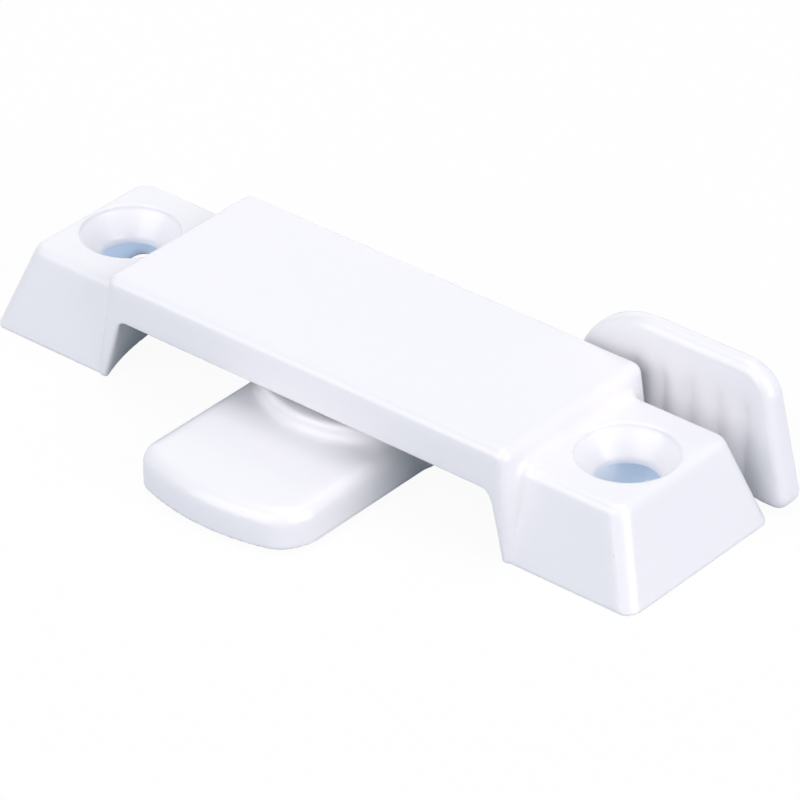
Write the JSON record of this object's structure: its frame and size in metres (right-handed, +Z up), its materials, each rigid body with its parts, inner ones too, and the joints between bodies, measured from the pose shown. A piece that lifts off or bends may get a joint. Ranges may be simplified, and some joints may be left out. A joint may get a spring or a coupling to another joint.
{
  "type": "double hung window lock",
  "caption": "White sash lock: a cast bridge on two screw feet, over a turning lever with a locking tongue in front and a ribbed thumb tab behind.",
  "frame": {"origin": "on the mounting plane, midway between the two screw holes, on the lever's pivot axis", "axes": "+X along the housing towards the foot beside the thumb tab, +Y to the thumb tab's side, +Z up from the window sash"},
  "size_m": [0.068, 0.0332, 0.0126],
  "materials": {
    "white_enamel": "gloss",
    "plated_steel": "satin",
    "spring_steel": "satin"
  },
  "bodies": {
    "base": {"housing": "white_enamel", "pivot_rivet": "plated_steel", "flat_washer": "plated_steel", "spring_washer": "spring_steel"},
    "lever": {"latch_lever": "white_enamel"}
  },
  "joints": [
    {"name": "lever_pivot", "type": "hinge", "parent": "base", "child": "lever", "pos_m": [0, 0, 0], "axis": [0, 0, 1], "range_deg": [0, 90]}
  ]
}
